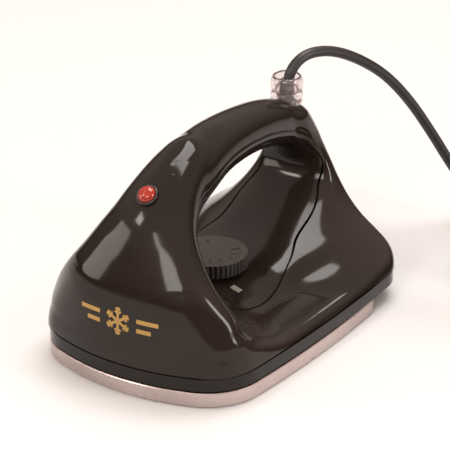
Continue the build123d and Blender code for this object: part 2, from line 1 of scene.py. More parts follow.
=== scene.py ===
"""The look of the waxing iron: camera, mains lead, moulded housing, plate, dial, lamp, guard and studio light."""
import bpy
import math
import numpy as np
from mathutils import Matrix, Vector


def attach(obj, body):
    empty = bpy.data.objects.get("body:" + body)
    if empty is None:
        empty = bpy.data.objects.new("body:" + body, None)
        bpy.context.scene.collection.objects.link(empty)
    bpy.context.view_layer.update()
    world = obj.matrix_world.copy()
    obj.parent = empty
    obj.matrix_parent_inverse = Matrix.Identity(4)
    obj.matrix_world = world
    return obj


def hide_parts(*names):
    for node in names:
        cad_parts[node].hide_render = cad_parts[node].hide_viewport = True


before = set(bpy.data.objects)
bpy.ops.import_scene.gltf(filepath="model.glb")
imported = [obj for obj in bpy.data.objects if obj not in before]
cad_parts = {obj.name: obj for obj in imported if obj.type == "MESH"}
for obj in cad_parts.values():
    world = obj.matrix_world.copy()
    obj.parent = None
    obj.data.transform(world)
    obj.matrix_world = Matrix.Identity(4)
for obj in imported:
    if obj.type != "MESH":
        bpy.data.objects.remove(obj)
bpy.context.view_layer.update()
ROOT = "iron"
DIAL = "dial"
MM = 0.001
scene = bpy.context.scene

# ---------------------------------------------------------------- camera
AZIMUTH, ELEVATION = math.radians(33.0), math.radians(25.5)
AIM = Vector((0.0045, 0.0, 0.0504))
CAMERA_REACH = 1.120            # metres from the aim point
LENS_MM = 200.0
back = Vector((math.sin(AZIMUTH) * math.cos(ELEVATION), -math.cos(AZIMUTH) * math.cos(ELEVATION),
               math.sin(ELEVATION)))
camera_data = bpy.data.cameras.new("camera")
camera_data.lens = LENS_MM
camera_data.sensor_width = 36.0
camera_data.clip_end = 20.0
camera = bpy.data.objects.new("camera", camera_data)
scene.collection.objects.link(camera)
camera.location = AIM + back * CAMERA_REACH
camera.rotation_mode = "QUATERNION"
camera.rotation_quaternion = (-back).to_track_quat("-Z", "Y")
scene.camera = camera


# ---------------------------------------------------------------- materials
def material(name, colour, roughness, metallic=0.0, coat=0.0, transmission=0.0, ior=1.5, alpha=1.0):
    """A Principled material; returns the material, its nodes, its links and its shader."""
    mat = bpy.data.materials.new(name)
    mat.use_nodes = True
    nodes, links = mat.node_tree.nodes, mat.node_tree.links
    shader = nodes["Principled BSDF"]
    shader.inputs["Base Color"].default_value = (*colour, 1.0)
    shader.inputs["Roughness"].default_value = roughness
    shader.inputs["Metallic"].default_value = metallic
    shader.inputs["Coat Weight"].default_value = coat
    shader.inputs["Coat Roughness"].default_value = 0.06
    shader.inputs["Transmission Weight"].default_value = transmission
    shader.inputs["IOR"].default_value = ior
    shader.inputs["Alpha"].default_value = alpha
    return mat, nodes, links, shader


def noise(nodes, links, scale, detail=3.0, stretch=(1, 1, 1), roughness=0.5):
    """Noise in object space, stretched along the axes; returns its Fac output."""
    coord = nodes.new("ShaderNodeTexCoord")
    mapping = nodes.new("ShaderNodeMapping")
    mapping.inputs["Scale"].default_value = stretch
    texture = nodes.new("ShaderNodeTexNoise")
    texture.inputs["Scale"].default_value = scale
    texture.inputs["Detail"].default_value = detail
    texture.inputs["Roughness"].default_value = roughness
    links.new(coord.outputs["Object"], mapping.inputs["Vector"])
    links.new(mapping.outputs["Vector"], texture.inputs["Vector"])
    return texture.outputs["Fac"]


def spread(nodes, links, fac, low, high, start=0.3, end=0.7):
    """Maps a noise value to the range low to high."""
    span = nodes.new("ShaderNodeMapRange")
    span.inputs["From Min"].default_value = start
    span.inputs["From Max"].default_value = end
    span.inputs["To Min"].default_value = low
    span.inputs["To Max"].default_value = high
    links.new(fac, span.inputs["Value"])
    return span.outputs["Result"]


def tint(nodes, links, fac, dark, light, start=0.35, end=0.65):
    """A two-colour ramp driven by a noise value."""
    ramp = nodes.new("ShaderNodeValToRGB")
    ramp.color_ramp.elements[0].position = start
    ramp.color_ramp.elements[0].color = (*dark, 1)
    ramp.color_ramp.elements[1].position = end
    ramp.color_ramp.elements[1].color = (*light, 1)
    links.new(fac, ramp.inputs["Fac"])
    return ramp.outputs["Color"]


def bump(nodes, links, shader, height, distance, strength=1.0):
    """A bump of the given height in metres."""
    node = nodes.new("ShaderNodeBump")
    node.inputs["Strength"].default_value = strength
    node.inputs["Distance"].default_value = distance
    links.new(height, node.inputs["Height"])
    links.new(node.outputs["Normal"], shader.inputs["Normal"])


def glossy_moulding(name, colour, roughness):
    """Polished phenolic moulding: deep colour, faint flow lines, fine dust and handling haze."""
    mat, nodes, links, shader = material(name, colour, roughness, ior=1.46)
    shader.inputs["Specular IOR Level"].default_value = 0.30
    haze = noise(nodes, links, 34.0, 4.0, (1, 1, 0.5))
    links.new(spread(nodes, links, haze, roughness * 0.7, roughness * 1.6), shader.inputs["Roughness"])
    cloud = noise(nodes, links, 12.0, 5.0)
    darker = tuple(c * 0.75 for c in colour)
    lighter = tuple(c * 1.35 for c in colour)
    links.new(tint(nodes, links, cloud, darker, lighter), shader.inputs["Base Color"])
    ripple = noise(nodes, links, 55.0, 2.0)
    bump(nodes, links, shader, ripple, 0.00006, 0.5)
    return mat


def metal(name, colour, roughness, grain=(1, 1, 1), scale=900.0, depth=0.00002):
    """Metal with a ground or rolled grain along one direction."""
    mat, nodes, links, shader = material(name, colour, roughness, metallic=1.0)
    streak = noise(nodes, links, scale, 2.0, grain)
    links.new(spread(nodes, links, streak, roughness * 0.75, roughness * 1.35), shader.inputs["Roughness"])
    stain = noise(nodes, links, 26.0, 5.0)
    links.new(tint(nodes, links, stain, tuple(c * 0.86 for c in colour), colour), shader.inputs["Base Color"])
    bump(nodes, links, shader, streak, depth, 0.6)
    return mat


def matt(name, colour, roughness, scale=600.0, depth=0.00004, variation=0.8):
    """Matt plastic, rubber, ceramic or fibre with a fine moulded texture."""
    mat, nodes, links, shader = material(name, colour, roughness)
    grain = noise(nodes, links, scale, 3.0)
    bump(nodes, links, shader, grain, depth, 0.7)
    cloud = noise(nodes, links, 40.0, 4.0)
    links.new(tint(nodes, links, cloud, tuple(c * variation for c in colour), colour), shader.inputs["Base Color"])
    links.new(spread(nodes, links, grain, roughness * 0.85, min(roughness * 1.15, 1.0)), shader.inputs["Roughness"])
    return mat


SHELL = glossy_moulding("shell_gloss", (0.0140, 0.0093, 0.0067), 0.085)
LINER = glossy_moulding("liner_gloss", (0.0115, 0.0079, 0.0060), 0.095)
SKIRT = glossy_moulding("skirt_gloss", (0.0090, 0.0062, 0.0050), 0.11)
PLATE = metal("ground_aluminium", (0.58, 0.485, 0.46), 0.30, (1, 1, 9), 260.0, 0.00003)
GASKET = matt("fibre_gasket", (0.055, 0.045, 0.040), 0.85)
STEEL = metal("zinc_steel", (0.55, 0.55, 0.56), 0.33)
SHEATH = metal("element_sheath", (0.23, 0.19, 0.17), 0.5)
CERAMIC = matt("steatite", (0.78, 0.75, 0.68), 0.6, 500.0, 0.00003, 0.92)
BRASS = metal("brass", (0.62, 0.45, 0.19), 0.28)
BIMETAL = metal("bimetal", (0.45, 0.38, 0.32), 0.36)
KNOB = matt("knob_plastic", (0.024, 0.018, 0.015), 0.30, 700.0, 0.00005, 0.7)
BEZEL = matt("bezel_plastic", (0.016, 0.012, 0.012), 0.3)
DARK_MARK = matt("engraved_mark", (0.004, 0.004, 0.004), 0.6)
PALE_MARK = matt("index_paint", (0.16, 0.14, 0.12), 0.6)
SLEEVE = matt("sleeve_rubber", (0.060, 0.050, 0.046), 0.6, 700.0, 0.00004, 0.85)
CORD = matt("cord_rubber", (0.0135, 0.0105, 0.0095), 0.46, 1400.0, 0.00003, 0.8)
TIE = matt("tie_plastic", (0.025, 0.024, 0.024), 0.4)
PLUG = matt("plug_rubber", (0.018, 0.016, 0.015), 0.5, 500.0, 0.00005, 0.8)
NICKEL = metal("nickel", (0.72, 0.70, 0.66), 0.16)
GLASS_SLEEVE = matt("glass_sleeve", (0.6, 0.57, 0.5), 0.8)
WIRE_RED = matt("wire_brown", (0.16, 0.06, 0.03), 0.5)
WIRE_GREEN = matt("wire_green", (0.12, 0.30, 0.05), 0.5)
WIRE_BLUE = matt("wire_blue", (0.03, 0.09, 0.30), 0.5)
GOLD = metal("gold_print", (0.50, 0.31, 0.11), 0.42, (1, 1, 1), 700.0, 0.00001)


def clear_plastic(name, colour, roughness, transmission, ior):
    """Tinted clear plastic with a slight haze and surface ripple."""
    mat, nodes, links, shader = material(name, colour, roughness, transmission=transmission, ior=ior)
    haze = noise(nodes, links, 120.0, 3.0)
    links.new(spread(nodes, links, haze, roughness * 0.7, roughness * 1.5), shader.inputs["Roughness"])
    bump(nodes, links, shader, noise(nodes, links, 260.0, 2.0), 0.00005, 0.5)
    return mat


GUARD = clear_plastic("guard_clear", (0.88, 0.80, 0.80), 0.05, 0.95, 1.36)
LENS = clear_plastic("lamp_red", (0.34, 0.024, 0.010), 0.10, 0.2, 1.5)
BULB = clear_plastic("bulb_glass", (0.95, 0.85, 0.8), 0.05, 0.9, 1.5)

CAD_LOOK = {
    "skirt_ring": SKIRT, "sole_plate": PLATE, "insulating_gasket": GASKET, "heating_element": SHEATH,
    "element_end_seals": CERAMIC, "element_pins": STEEL, "element_clamp_bars": STEEL,
    "element_clamp_screws": STEEL, "ceramic_standoffs": CERAMIC, "heat_shield": STEEL, "standoff_screws": STEEL,
    "boss_washers": STEEL, "housing_screws": STEEL, "thermostat_bracket": STEEL,
    "thermostat_insulators": CERAMIC, "bimetal_strip": BIMETAL, "lower_contact_spring": BRASS,
    "upper_contact_spring": BRASS, "contact_points": NICKEL, "stack_rivet": STEEL, "ceramic_push_pin": CERAMIC,
    "spindle_bush": BRASS, "thermostat_spindle": BRASS,
    "neon_bulb": BULB, "terminal_block": CERAMIC, "terminal_screws": BRASS, "live_wire": WIRE_RED,
    "earth_wire": WIRE_GREEN, "neutral_wire": WIRE_BLUE, "lamp_leads": GLASS_SLEEVE,
    "element_leads": GLASS_SLEEVE, "fuse_sleeve": GLASS_SLEEVE, "thermal_fuse": NICKEL, "cord_clamp": CERAMIC,
    "cord_clamp_screws": STEEL, "cord_tie": TIE, "plug_body": PLUG, "plug_pins": NICKEL, "dial_knob": KNOB,
    "dial_scale_disc": KNOB,
}
for node, look in CAD_LOOK.items():
    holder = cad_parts[node]
    if not holder.material_slots:
        holder.data.materials.append(look)
    for material_slot in holder.material_slots:
        material_slot.material = look


def add_object(name, data, look, body=ROOT):
    """Links a new piece, gives it its material and ties it to a body."""
    piece = bpy.data.objects.new(name, data)
    scene.collection.objects.link(piece)
    data.materials.append(look)
    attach(piece, body)
    return piece


def mesh_from(name, verts, faces, smooth=True):
    """A mesh datablock from vertices in millimetres."""
    mesh = bpy.data.meshes.new(name)
    mesh.from_pydata([tuple(c * MM for c in v) for v in verts], [], faces)
    mesh.polygons.foreach_set("use_smooth", [smooth] * len(mesh.polygons))
    mesh.update()
    return mesh


def revolve(name, profile, at, turns=64):
    """A closed (radius, height) profile turned about a vertical axis through at."""
    verts, faces = [], []
    count = len(profile)
    for step in range(turns):
        angle = 2 * math.pi * step / turns
        for radius, height in profile:
            verts.append((at[0] + radius * math.cos(angle), at[1] + radius * math.sin(angle), at[2] + height))
    for step in range(turns):
        ahead = (step + 1) % turns
        for index in range(count):
            after = (index + 1) % count
            faces.append((step * count + index, ahead * count + index, ahead * count + after,
                          step * count + after))
    return mesh_from(name, verts, faces)


# ---------------------------------------------------------------- mains lead
EXIT = (0.0, 59.0, 89.0)
GUARD_AXIS = (EXIT[0], EXIT[1], 0)
CORD_D = 5.0
ROUTE = [EXIT, (0, 59, 99), (1.6, 63.4, 106.5), (4.5, 71.2, 109.8), (9.2, 84.4, 107.5), (14.7, 99.4, 99.5),
         (20.0, 116.0, 87), (25.5, 130.5, 70), (31.5, 142, 51), (38, 150.5, 33), (46, 156.5, 18),
         (57, 159.8, 8.0), (70, 160.5, 3.5), (84, 160.5, 3.5)]
COIL_AT = (102.0, 128.0)
COIL_Z = 1.0
OUTER_R, INNER_R = 32.5, 27.5
STEPS = 16                     # control points in one turn
TURNS = 8.25
LAYER_TURNS = 2                # turns in one layer
LAST_LAYER = 3
SWING_START, SWING_TURNS = 0.88, 0.24    # where in a layer the lead crosses to the other radius
RISE_TURNS = 0.2               # turn in which the lead climbs to the next layer
ONTO_COIL = (93, 160.5, 3.5)
TO_PLUG = [(134.5, 120, 18.5), (134.5, 109, 18.5), (134.5, 98, 18.5)]


def coil_points():
    """Turns wound clockwise from the far side: out to in, in to out, one layer on the other."""
    points = [ONTO_COIL]
    for step in range(int(TURNS * STEPS) + 1):
        turn = step / STEPS
        layer = min(int(turn // LAYER_TURNS), LAST_LAYER)
        within = turn - LAYER_TURNS * layer
        outward = layer % 2 == 1
        swing = min(max((within - SWING_START) / SWING_TURNS, 0.0), 1.0)
        side = 3 * swing**2 - 2 * swing**3
        side = 1 - side if outward else side
        radius = OUTER_R + (INNER_R - OUTER_R) * side
        rise = min(within / RISE_TURNS, 1.0) if layer else 1.0
        height = COIL_Z + CORD_D / 2 + CORD_D * (layer - 1 + rise)
        angle = math.pi / 2 - 2 * math.pi * turn
        points.append((COIL_AT[0] + radius * math.cos(angle), COIL_AT[1] + radius * math.sin(angle), height))
    return points + TO_PLUG


cord_curve = bpy.data.curves.new("mains_lead", "CURVE")
cord_curve.dimensions = "3D"
cord_curve.resolution_u = 12
cord_curve.bevel_depth = CORD_D / 2 * MM
cord_curve.bevel_resolution = 6
cord_curve.use_fill_caps = True
line = cord_curve.splines.new("NURBS")
route = ROUTE + coil_points()
line.points.add(len(route) - 1)
for control, spot in zip(line.points, route):
    control.co = (*(c * MM for c in spot), 1.0)
line.order_u = 3
line.use_endpoint_u = True
lead = add_object("mains_lead", cord_curve, CORD)
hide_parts("mains_cord", "cord_coil")

# ---------------------------------------------------------------- moulded housing as one smooth field
PLAN_FRONT, PLAN_REAR = 79.0, 79.0
HALF_W = 57.0
FRONT_CORNER_X, FRONT_SET_BACK = 51.5, 14
REAR_CORNER_X, REAR_SET_BACK = 55.5, 3
NOSE_ROUND, TAIL_ROUND = 28.0, 19.0
SEAM_Z = 14.6
SILL_Z = 30.4


def circle_of(ax, ay, bx, by, cx, cy):
    """Centre and radius of the circle through three points."""
    d = 2 * (ax * (by - cy) + bx * (cy - ay) + cx * (ay - by))
    ux = ((ax**2 + ay**2) * (by - cy) + (bx**2 + by**2) * (cy - ay) + (cx**2 + cy**2) * (ay - by)) / d
    uy = ((ax**2 + ay**2) * (cx - bx) + (bx**2 + by**2) * (ax - cx) + (cx**2 + cy**2) * (bx - ax)) / d
    return ux, uy, math.hypot(ax - ux, ay - uy)


FRONT_POINT = (FRONT_CORNER_X, FRONT_SET_BACK - PLAN_FRONT)
REAR_POINT = (REAR_CORNER_X, PLAN_REAR - REAR_SET_BACK)
FRONT_ARC = circle_of(-FRONT_POINT[0], FRONT_POINT[1], 0, -PLAN_FRONT, *FRONT_POINT)
REAR_ARC = circle_of(-REAR_POINT[0], REAR_POINT[1], 0, PLAN_REAR, *REAR_POINT)
SIDE_ARC = circle_of(*FRONT_POINT, HALF_W, 14, *REAR_POINT)


def round_and(a, b, radius):
    """The overlap of two fields, with its edge rounded to radius."""
    return np.minimum(np.maximum(a, b), -radius) + np.hypot(np.maximum(a + radius, 0), np.maximum(b + radius, 0))


def corner_cosine(first, second, x, y):
    """Cosine of the angle between the outward normals of two arcs where they meet."""
    ax, ay = (x - first[0]) / first[2], (y - first[1]) / first[2]
    bx, by = (x - second[0]) / second[2], (y - second[1]) / second[2]
    return ax * bx + ay * by


FRONT_CORNER = corner_cosine(FRONT_ARC, SIDE_ARC, *FRONT_POINT)
REAR_CORNER = corner_cosine(REAR_ARC, SIDE_ARC, *REAR_POINT)


def fillet_corner(a, b, radius, cosine):
    """The overlap of two fields that meet at an angle, with a true round of that radius."""
    u, v = a + radius, b + radius
    wedge = (u > cosine * v) & (v > cosine * u) & (u + v > 0)
    reach = np.sqrt(np.maximum(u * u + v * v - 2 * u * v * cosine, 0) / (1 - cosine**2))
    return np.where(wedge, reach - radius, np.maximum(a, b))


def soft_or(a, b, reach):
    """The union of two fields, with a fillet about reach wide."""
    mix = np.clip(0.5 + 0.5 * (b - a) / reach, 0, 1)
    return b * (1 - mix) + a * mix - reach * mix * (1 - mix)


def plan_field(x, y, nose_round=NOSE_ROUND):
    """Distance to the outline in plan, negative inside; the nose corners may be rounded further."""
    front = np.hypot(x - FRONT_ARC[0], y - FRONT_ARC[1]) - FRONT_ARC[2]
    rear = np.hypot(x - REAR_ARC[0], y - REAR_ARC[1]) - REAR_ARC[2]
    side = np.hypot(np.abs(x) - SIDE_ARC[0], y - SIDE_ARC[1]) - SIDE_ARC[2]
    return np.maximum(fillet_corner(side, front, nose_round, FRONT_CORNER),
                      fillet_corner(side, rear, TAIL_ROUND, REAR_CORNER))


# both masses by height: level, half width, front, widest y, rear, front power, rear power
NOSE = np.array([(10, 62, -79.5, -58, 0, 3.6, 2.0), (18, 58.0, -79.2, -58, -6, 3.4, 2.0),
                 (24, 52.5, -78.9, -59, -18, 3.2, 2.0), (30, 48.8, -78.5, -59, -27.5, 3.1, 2.0),
                 (37, 45.6, -78.0, -59, -36, 3.0, 2.0), (43, 41.2, -76.8, -59, -40, 2.9, 2.0),
                 (49, 36.4, -75.0, -58.5, -42.5, 2.7, 2.0), (58, 29.6, -71.4, -57, -42, 2.5, 2.0),
                 (68, 23.0, -66.4, -54, -38, 2.3, 2.0), (78, 17.4, -60.0, -47, -31, 2.1, 2.0),
                 (86, 13.3, -53.5, -41, -26, 2.0, 2.0), (95, 9.0, -44.0, -33, -20, 2.0, 2.0)], float)
TAIL = np.array([(10, 57.0, -6, 64, 80.0, 2.0, 4.5), (18, 53.5, 2, 65, 79.4, 2.0, 4.0),
                 (24, 48.0, 9, 66, 79.0, 1.9, 3.6), (29, 42.0, 15, 67, 78.7, 1.9, 3.4),
                 (34, 35.0, 29.5, 68, 78.2, 2.3, 3.2), (41, 28.0, 45, 69, 77.4, 2.6, 3.0),
                 (50, 22.0, 59.0, 69, 76.0, 2.6, 3.0), (58, 18.2, 63.0, 68.5, 74.6, 2.6, 3.0),
                 (66, 15.0, 61.0, 66.5, 73.6, 2.6, 2.8), (74, 12.4, 55.0, 63, 72.0, 2.2, 2.6),
                 (84, 9.4, 50.0, 58, 67.0, 2.0, 2.2), (95, 5.0, 50.0, 56, 60.0, 2.0, 2.0)], float)


def smooth_table(table, z):
    """Every column of a table of levels at height z, as a smooth curve through its rows."""
    levels = table[:, 0]
    slopes = np.gradient(table[:, 1:], levels, axis=0)
    z = np.clip(z, levels[0], levels[-1])
    index = np.clip(np.searchsorted(levels, z) - 1, 0, len(levels) - 2)
    step = (levels[index + 1] - levels[index])[..., None]
    t = ((z - levels[index])[..., None]) / step
    h00, h10 = 2 * t**3 - 3 * t**2 + 1, t**3 - 2 * t**2 + t
    h01, h11 = -2 * t**3 + 3 * t**2, t**3 - t**2
    return (h00 * table[index, 1:] + h10 * step * slopes[index] + h01 * table[index + 1, 1:]
            + h11 * step * slopes[index + 1])


def horn_field(table, x, y, z):
    """Approximate distance to a mass whose plan is a superellipse that changes with height."""
    row = smooth_table(table, z)
    half, front, middle, rear = row[..., 0], row[..., 1], row[..., 2], row[..., 3]
    ahead = y < middle
    power = np.where(ahead, row[..., 4], row[..., 5])
    depth = np.where(ahead, middle - front, rear - middle)
    u = np.abs(x) / half + 1e-6
    v = np.abs(y - middle) / depth + 1e-6
    size = (u**power + v**power) ** (1 / power)
    slope = np.hypot((u / size) ** (power - 1) / half, (v / size) ** (power - 1) / depth)
    return (size - 1) / slope


# the grip from nose to tail: y, z and radius
GRIP = np.array([(-50.5, 60, 15.0), (-44, 70.6, 14.9), (-33.5, 79.6, 14.6), (-20.7, 84.8, 14.1), (-6.8, 88, 12.9),
                 (7, 88.7, 12.1), (21, 87.9, 11.5), (35, 85.8, 11.2), (48, 82.0, 11.0), (58, 77.0, 10.2),
                 (64, 71.0, 8.4)], float)
GRIP_TABLE = np.column_stack([np.arange(len(GRIP)), GRIP])
GRIP_SAMPLES = 45


def grip_field(x, y, z):
    """Distance to a bar whose centre line and radius change smoothly along the grip."""
    last = len(GRIP) - 1
    marks = np.linspace(0, last, GRIP_SAMPLES)
    points = smooth_table(GRIP_TABLE, marks)
    best = np.full(x.shape, 1e9)
    at = np.zeros(x.shape)
    for mark, (yc, zc, _) in zip(marks, points):
        gap = (y - yc) ** 2 + (z - zc) ** 2
        nearer = gap < best
        best = np.where(nearer, gap, best)
        at = np.where(nearer, mark, at)
    for _ in range(2):
        here = smooth_table(GRIP_TABLE, at)
        before = smooth_table(GRIP_TABLE, np.clip(at - 0.05, 0, last))
        after = smooth_table(GRIP_TABLE, np.clip(at + 0.05, 0, last))
        tangent = (after - before)[..., :2] * 10
        dy, dz = y - here[..., 0], z - here[..., 1]
        along = dy * tangent[..., 0] + dz * tangent[..., 1]
        at = np.clip(at + along / np.maximum((tangent**2).sum(-1), 1.0), 0, last)
    here = smooth_table(GRIP_TABLE, at)
    return np.sqrt(x**2 + (y - here[..., 0]) ** 2 + (z - here[..., 1]) ** 2) - here[..., 2]


SHOULDER_Z = 23.6
CROWN_X, CROWN_Y, CROWN_MID_Y = 34, 60, -4
TAIL_TOP_Z = 86
DRAFT = 0.02


def body_field(x, y, z):
    """Distance to the whole housing, negative inside, in millimetres."""
    plan = plan_field(x, y)
    above = z - SEAM_Z
    shoulder = round_and(plan + 0.05 * above, z - (SHOULDER_Z - 0.0021 * x**2), 4.0)
    # the sill under the hand opening is crowned across, and most so beside the dial
    sag = 0.0092 * np.exp(-(((y + 9) / 27) ** 2))
    crown = (z - (SILL_Z - sag * x**2)) / np.sqrt(1 + (2 * sag * x) ** 2)
    ellipse = np.hypot(np.abs(x) / CROWN_X, (y - CROWN_MID_Y) / CROWN_Y) * CROWN_X - CROWN_X
    field = soft_or(shoulder, round_and(crown, ellipse, 8.0), 6.0)
    # the nose: a sloping brow, corners rounder with height, and its foot set in behind the shoulder
    brow = -0.44 * (y + 53.8) + 0.897 * (z - 84.9)
    nose = round_and(horn_field(NOSE, x, y, z), brow, 7.0)
    nose_plan = plan_field(x, y, np.clip(NOSE_ROUND + 2.6 * (z - 20), NOSE_ROUND, 110))
    nose = round_and(nose, nose_plan + DRAFT * above + 0.16 * np.clip(27 - z, 0, 12), 2.0)
    tail = round_and(horn_field(TAIL, x, y, z), z - TAIL_TOP_Z, 3.0)
    tail = np.maximum(tail, plan + DRAFT * above)
    field = soft_or(field, nose, 7.0)
    field = soft_or(field, tail, 11.0)
    field = soft_or(field, grip_field(x, y, z), 6.5)
    # no fillet may push the walls past the outline
    return -soft_or(-field, -(plan + 0.03 * np.maximum(above, 0)), 3.0)


def field_gradient(points, step=0.05):
    """Central differences of the body field."""
    parts = []
    for axis in range(3):
        shift = np.zeros(3)
        shift[axis] = step
        high, low = points + shift, points - shift
        parts.append((body_field(*high.T) - body_field(*low.T)) / (2 * step))
    return np.column_stack(parts)


PROJECTION_SWEEPS, SMOOTHING_SWEEPS = 5, 2


def surface_nets(cell):
    """A quad mesh of the zero level of the body field, each vertex moved onto the surface."""
    xs = np.arange(-62, 62 + cell, cell)
    ys = np.arange(-84, 84 + cell, cell)
    zs = np.arange(11.0, 104 + cell, cell)
    values = np.empty((len(xs), len(ys), len(zs)))
    for k, z in enumerate(zs):
        gx, gy = np.meshgrid(xs, ys, indexing="ij")
        values[:, :, k] = body_field(gx, gy, np.full(gx.shape, z))
    inside = values < 0
    corners = [(i, j, k) for i in (0, 1) for j in (0, 1) for k in (0, 1)]
    shape = tuple(n - 1 for n in inside.shape)
    count = np.zeros(shape, int)
    for i, j, k in corners:
        count += inside[i:i + shape[0], j:j + shape[1], k:k + shape[2]]
    active = (count > 0) & (count < 8)
    number = np.full(shape, -1)
    number[active] = np.arange(active.sum())
    where = np.argwhere(active)
    total = np.zeros((len(where), 3))
    hits = np.zeros(len(where))
    for axis in range(3):
        for first in (0, 1):
            for second in (0, 1):
                a = np.zeros(3, int)
                others = [n for n in range(3) if n != axis]
                a[others[0]], a[others[1]] = first, second
                b = a.copy()
                b[axis] = 1
                ia, ib = where + a, where + b
                va, vb = values[tuple(ia.T)], values[tuple(ib.T)]
                crosses = (va < 0) != (vb < 0)
                t = np.where(crosses, va / np.where(crosses, va - vb, 1), 0)
                place = ia + np.outer(t, b - a)
                total[crosses] += place[crosses]
                hits[crosses] += 1
    verts = total / hits[:, None] * cell + np.array([xs[0], ys[0], zs[0]])
    faces = []
    for axis in range(3):
        u, v = [n for n in range(3) if n != axis]
        ahead = [slice(None)] * 3
        behind = [slice(None)] * 3
        ahead[axis], behind[axis] = slice(1, None), slice(None, -1)
        a, b = inside[tuple(behind)], inside[tuple(ahead)]
        edge = np.argwhere(a != b)
        keep = (edge[:, u] > 0) & (edge[:, v] > 0) & (edge[:, u] < shape[u]) & (edge[:, v] < shape[v])
        edge = edge[keep]
        ring = []
        for du, dv in ((0, 0), (-1, 0), (-1, -1), (0, -1)):
            cell_at = edge.copy()
            cell_at[:, u] += du
            cell_at[:, v] += dv
            ring.append(number[tuple(cell_at.T)])
        quads = np.column_stack(ring)
        flip = a[tuple(edge.T)] if axis != 1 else ~a[tuple(edge.T)]
        quads[~flip] = quads[~flip][:, ::-1]
        faces.append(quads)
    quads = np.vstack(faces)
    for sweep in range(PROJECTION_SWEEPS):
        grad = field_gradient(verts)
        size = np.maximum((grad**2).sum(1), 0.05)
        move = grad * (body_field(*verts.T) / size)[:, None]
        move = np.clip(move, -cell, cell)
        verts = verts - move
        if sweep < SMOOTHING_SWEEPS:
            near = np.zeros_like(verts)
            times = np.zeros(len(verts))
            for a, b in ((0, 1), (1, 2), (2, 3), (3, 0)):
                np.add.at(near, quads[:, a], verts[quads[:, b]])
                np.add.at(near, quads[:, b], verts[quads[:, a]])
                np.add.at(times, quads[:, a], 1)
                np.add.at(times, quads[:, b], 1)
            verts = verts * 0.4 + 0.6 * near / times[:, None]
    return verts, quads


# where the liner of the hand opening meets the shell, seen from the side: y and z
RIM = [(14.5, 27), (4.5, 23.7), (-11, 22.0), (-24.6, 24.6), (-34, 31.0), (-41, 38.0), (-45, 46.0), (-46, 54.0),
       (-44, 63.0), (-38, 70.5), (-27, 77.5), (-9, 84.0), (7, 85.6), (21, 84.6), (35, 82.0), (48, 77.6),
       (57, 72.4), (64, 65.5), (66, 58), (61.8, 50.4), (56, 44.8), (50, 41.2), (43, 37.5), (33.6, 34.0),
       (25.2, 30.7)]


def closed_curve(points, per_span=12):
    """A smooth closed curve through points, as a dense loop."""
    ring = np.array(points, float)
    out = []
    for index in range(len(ring)):
        p0, p1, p2, p3 = (ring[(index + n) % len(ring)] for n in (-1, 0, 1, 2))
        for t in np.linspace(0, 1, per_span, endpoint=False):
            out.append(0.5 * (2 * p1 + (p2 - p0) * t + (2 * p0 - 5 * p1 + 4 * p2 - p3) * t**2
                              + (3 * p1 - p0 - 3 * p2 + p3) * t**3))
    return np.array(out)


RIM_BLUR = 9                   # loop points averaged on each side
RIM_LOOP = sum(np.roll(closed_curve(RIM), shift, axis=0)
               for shift in range(-RIM_BLUR, RIM_BLUR + 1)) / (2 * RIM_BLUR + 1)


def rim_field(y, z):
    """Distance to the rim in side view, negative inside it."""
    best = np.full(y.shape, 1e9)
    winding = np.zeros(y.shape, bool)
    for (ya, za), (yb, zb) in zip(RIM_LOOP, np.roll(RIM_LOOP, -1, axis=0)):
        length = max((yb - ya) ** 2 + (zb - za) ** 2, 1e-9)
        t = np.clip(((y - ya) * (yb - ya) + (z - za) * (zb - za)) / length, 0, 1)
        best = np.minimum(best, np.hypot(y - ya - t * (yb - ya), z - za - t * (zb - za)))
        crosses = (za > z) != (zb > z)
        if za != zb:
            winding ^= crosses & (y < ya + (z - za) * (yb - ya) / (zb - za))
    return np.where(winding, -best, best)


def cut(verts, quads, value, keep_below):
    """Clips a mesh by a value at its vertices, keeping the side below or above zero."""
    sign = 1 if keep_below else -1
    level = value * sign
    verts = list(map(tuple, verts))
    made = {}
    faces = []

    def crossing(a, b):
        key = (min(a, b), max(a, b))
        if key not in made:
            t = level[a] / (level[a] - level[b])
            pa, pb = verts[a], verts[b]
            verts.append(tuple(pa[n] + t * (pb[n] - pa[n]) for n in range(3)))
            made[key] = len(verts) - 1
        return made[key]

    inside = level <= 0
    for face in quads:
        flags = [inside[n] for n in face]
        if all(flags):
            faces.append(tuple(face))
        elif any(flags):
            ring = []
            for n, index in enumerate(face):
                after = face[(n + 1) % len(face)]
                if inside[index]:
                    ring.append(index)
                if inside[index] != inside[after]:
                    ring.append(crossing(index, after))
            faces.append(tuple(ring))
    used = sorted({n for face in faces for n in face})
    renumber = {n: i for i, n in enumerate(used)}
    return np.array([verts[n] for n in used]), [tuple(renumber[n] for n in face) for face in faces]


def thick_piece(name, verts, faces, wall, look):
    """A closed shell: the outer surface, an inner one wall deeper, and the rim between them."""
    grad = field_gradient(verts)
    normal = grad / np.linalg.norm(grad, axis=1)[:, None]
    count = len(verts)
    edges = dict.fromkeys(pair for face in faces for pair in zip(face, face[1:] + face[:1]))
    border = [(a, b) for a, b in edges if (b, a) not in edges]
    everything = np.vstack([verts, verts - normal * wall])
    solid = list(faces) + [tuple(n + count for n in face[::-1]) for face in faces]
    solid += [(b, a, a + count, b + count) for a, b in border]
    mesh = mesh_from(name, everything, solid)
    smooth = [True] * (2 * len(faces)) + [False] * len(border)
    mesh.polygons.foreach_set("use_smooth", smooth)
    lookup = np.vstack([normal, -normal])
    loops = []
    for polygon, flag in zip(mesh.polygons, smooth):
        for vertex in polygon.vertices:
            loops.append(tuple(lookup[vertex]) if flag else tuple(polygon.normal))
    mesh.normals_split_custom_set(loops)
    return add_object(name, mesh, look)


